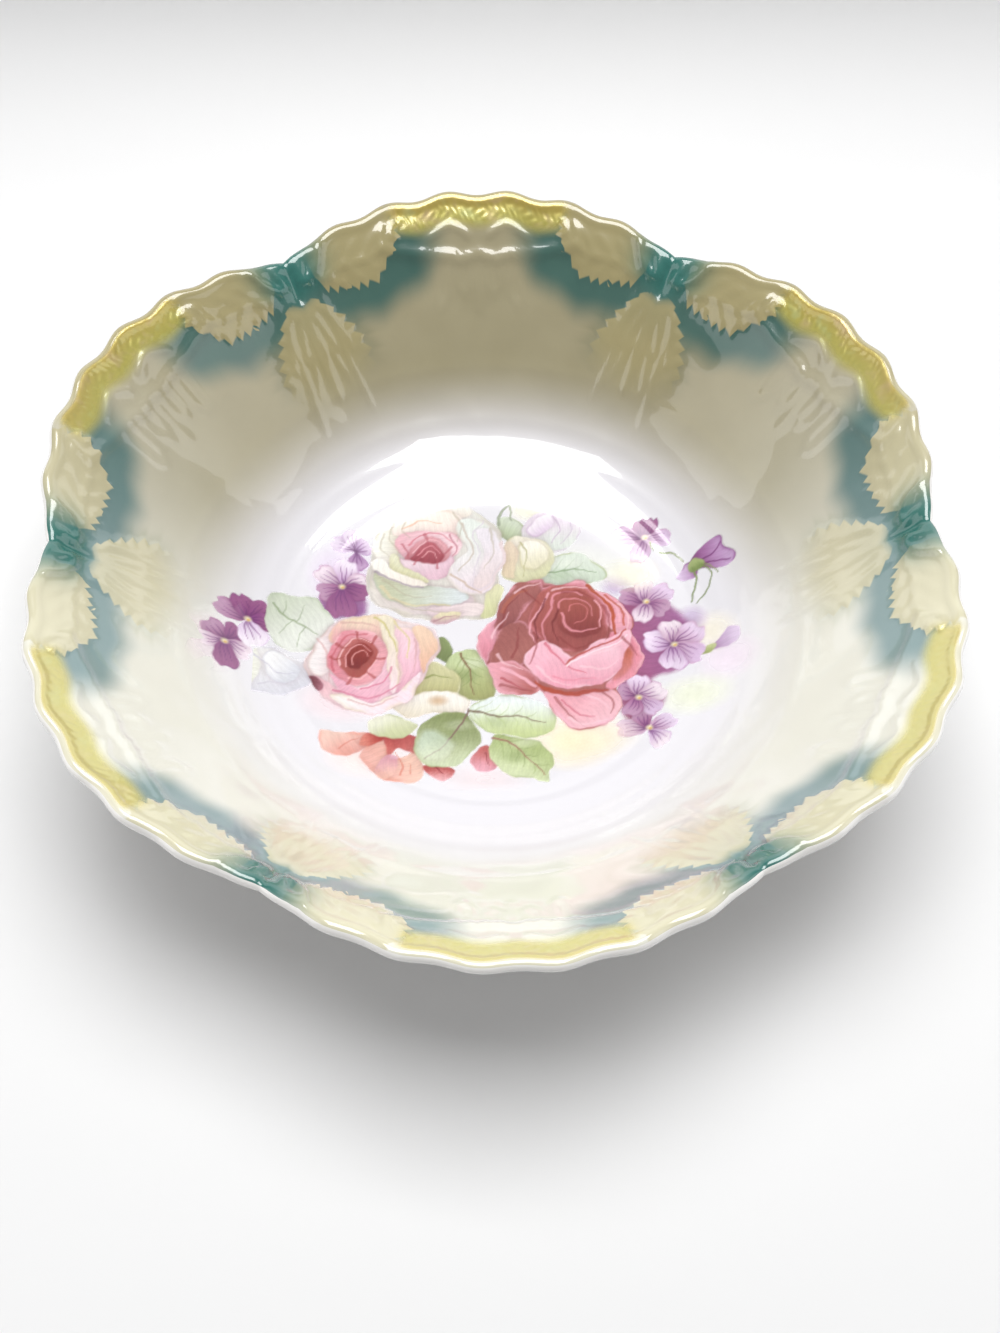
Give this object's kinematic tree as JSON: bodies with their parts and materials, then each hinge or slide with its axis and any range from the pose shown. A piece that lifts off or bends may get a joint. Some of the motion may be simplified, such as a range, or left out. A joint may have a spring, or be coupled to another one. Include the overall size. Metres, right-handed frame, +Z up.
{
  "type": "serving bowl",
  "caption": "Shallow lobed porcelain serving bowl with a scalloped rim, leaf relief, printed roses and violets, lustre at the rim and a low foot ring.",
  "frame": {"origin": "centre of the foot ring's standing edge, on the surface that the bowl stands on", "axes": "+Z up along the bowl's axis; +X through one of the rim's notches; +Y through the crown of a lobe, to the top of the printed bouquet"},
  "size_m": [0.2506, 0.2624, 0.0715],
  "materials": {
    "porcelain_body": "vitrified white hard porcelain",
    "porcelain_foot": "white porcelain, glazed sides and an unglazed, ground standing edge",
    "inside_glaze": "clear glossy glaze over sprayed teal, tan and cream grounds",
    "outside_glaze": "clear glossy glaze over white",
    "rose_print": "printed enamel colours fired into the glaze",
    "violet_print": "printed enamel colours fired into the glaze",
    "gold_lustre": "thin gold and pearl lustre film, fired on"
  },
  "bodies": {
    "root": {"bowl_shell": "porcelain_body", "foot_ring": "porcelain_foot", "inner_glaze": "inside_glaze", "outer_glaze": "outside_glaze", "rose_transfer": "rose_print", "violet_transfers": "violet_print", "rim_lustre": "gold_lustre"}
  },
  "joints": []
}
